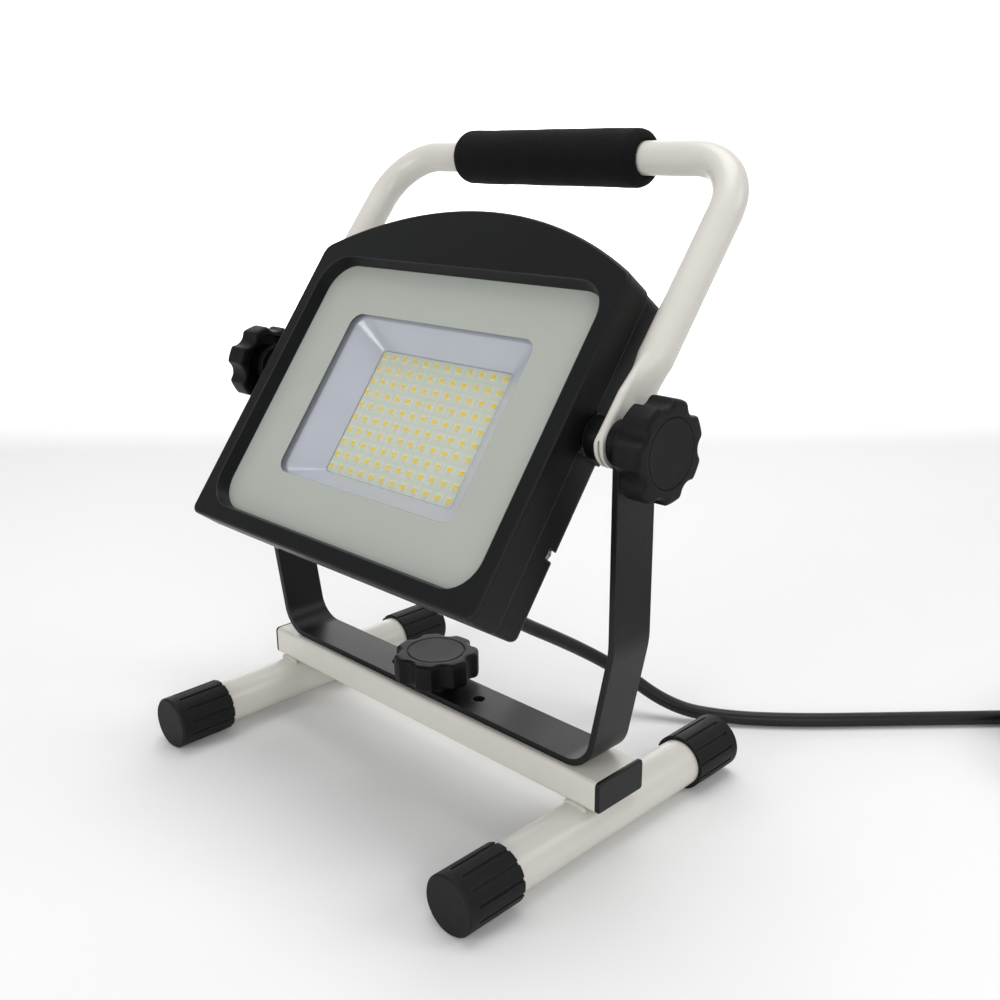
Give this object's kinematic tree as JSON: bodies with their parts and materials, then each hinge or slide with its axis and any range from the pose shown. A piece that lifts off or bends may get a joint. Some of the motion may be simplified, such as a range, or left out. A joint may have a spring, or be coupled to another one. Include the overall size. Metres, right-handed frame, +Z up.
{
  "type": "work light",
  "caption": "Portable LED flood lamp with a black housing, held by a U-bracket on a tubular floor stand with rubber feet, a foam carry handle and star knobs.",
  "frame": {"origin": "on the floor, under the middle of the box round the stand, lamp and handle; the swivel bolt stands 3.7 mm in front of it", "axes": "+Z up; +X to the lamp's left-hand side as a person facing the lamp sees its right arm, along the crossbar; the lamp shines towards -Y"},
  "size_m": [0.595, 0.3598, 0.2984],
  "materials": {
    "stand_powder_coat": "satin",
    "foot_rubber": "matte",
    "black_plastic": "satin",
    "bracket_paint": "satin",
    "zinc_steel": "satin",
    "brass_insert": "satin",
    "grip_foam": "matte",
    "lamp_paint": "satin",
    "lamp_glass": "gloss",
    "seal_rubber": "matte",
    "reflector_plastic": "gloss",
    "led_board_mask": "satin",
    "led_phosphor": "satin",
    "driver_resin": "matte",
    "cord_rubber": "satin",
    "pin_brass": "gloss"
  },
  "bodies": {
    "base": {"foot_tube_left": "stand_powder_coat", "foot_tube_right": "stand_powder_coat", "foot_cap_front_left": "foot_rubber", "foot_cap_front_right": "foot_rubber", "foot_cap_rear_left": "foot_rubber", "foot_cap_rear_right": "foot_rubber", "crossbar": "stand_powder_coat", "crossbar_plug_left": "black_plastic", "crossbar_plug_right": "black_plastic", "weld_beads": "stand_powder_coat", "swivel_bolt": "zinc_steel", "power_cord_upper": "cord_rubber", "power_cord_lower": "cord_rubber", "power_cord_coil": "cord_rubber", "power_cord_tail": "cord_rubber", "plug_body": "cord_rubber", "plug_pins": "pin_brass"},
    "bracket": {"u_bracket": "bracket_paint", "pivot_spacer_left": "black_plastic", "pivot_spacer_right": "black_plastic"},
    "swivel_washer_body": {"swivel_washer": "zinc_steel"},
    "swivel_knob": {"base_knob": "black_plastic", "base_knob_insert": "brass_insert"},
    "handle": {"handle_tube": "stand_powder_coat", "handle_grip": "grip_foam"},
    "lamp": {"front_bezel": "lamp_paint", "front_glass": "lamp_glass", "glass_gasket": "seal_rubber", "reflector": "reflector_plastic", "led_board": "led_board_mask", "board_screws": "zinc_steel", "leds": "led_phosphor", "rear_housing": "lamp_paint", "bezel_screws": "zinc_steel", "driver_cover_seal": "seal_rubber", "driver_cover": "lamp_paint", "driver_cover_screws": "zinc_steel", "driver_module": "driver_resin", "gland_body": "black_plastic", "gland_nut": "black_plastic", "cord_strain_relief": "cord_rubber", "pivot_stud_left": "zinc_steel", "pivot_stud_right": "zinc_steel"},
    "left_washer": {"pivot_washer_left": "zinc_steel"},
    "left_knob": {"side_knob_left": "black_plastic", "side_knob_left_insert": "brass_insert"},
    "right_washer": {"pivot_washer_right": "zinc_steel"},
    "right_knob": {"side_knob_right": "black_plastic", "side_knob_right_insert": "brass_insert"}
  },
  "joints": [
    {"name": "stand_swivel", "type": "hinge", "parent": "base", "child": "bracket", "pos_m": [0, -0.00373, 0.0383], "axis": [0, 0, 1], "range_deg": [-90, 90], "deforming": ["power_cord_upper", "power_cord_lower"]},
    {"name": "lamp_tilt", "type": "hinge", "parent": "bracket", "child": "lamp", "pos_m": [0, -0.00373, 0.181], "axis": [1, 0, 0], "range_deg": [-50, 75], "deforming": ["power_cord_upper", "power_cord_lower"]},
    {"name": "handle_swing", "type": "hinge", "parent": "bracket", "child": "handle", "pos_m": [0, -0.00373, 0.181], "axis": [1, 0, 0], "range_deg": [-105, 200]},
    {"name": "swivel_clamp_lift", "type": "slide", "parent": "base", "child": "swivel_washer_body", "axis": [0, 0, 1], "range_m": [0, 0.0025]},
    {"name": "swivel_knob_turn", "type": "hinge", "parent": "swivel_washer_body", "child": "swivel_knob", "pos_m": [0, -0.00373, 0.05], "axis": [0, 0, 1], "range_deg": [0, 720]},
    {"name": "left_clamp_lift", "type": "slide", "parent": "lamp", "child": "left_washer", "axis": [-1, 0, 0], "range_m": [0, 0.0025]},
    {"name": "left_knob_turn", "type": "hinge", "parent": "left_washer", "child": "left_knob", "pos_m": [-0.128, -0.00373, 0.181], "axis": [-1, 0, 0], "range_deg": [0, 720]},
    {"name": "right_clamp_lift", "type": "slide", "parent": "lamp", "child": "right_washer", "axis": [1, 0, 0], "range_m": [0, 0.0025]},
    {"name": "right_knob_turn", "type": "hinge", "parent": "right_washer", "child": "right_knob", "pos_m": [0.128, -0.00373, 0.181], "axis": [1, 0, 0], "range_deg": [0, 720]}
  ],
  "couplings": [
    {"joint": "swivel_clamp_lift", "follows": "swivel_knob_turn", "m_per_rad": 0.00019894},
    {"joint": "left_clamp_lift", "follows": "left_knob_turn", "m_per_rad": 0.00019894},
    {"joint": "right_clamp_lift", "follows": "right_knob_turn", "m_per_rad": 0.00019894}
  ]
}
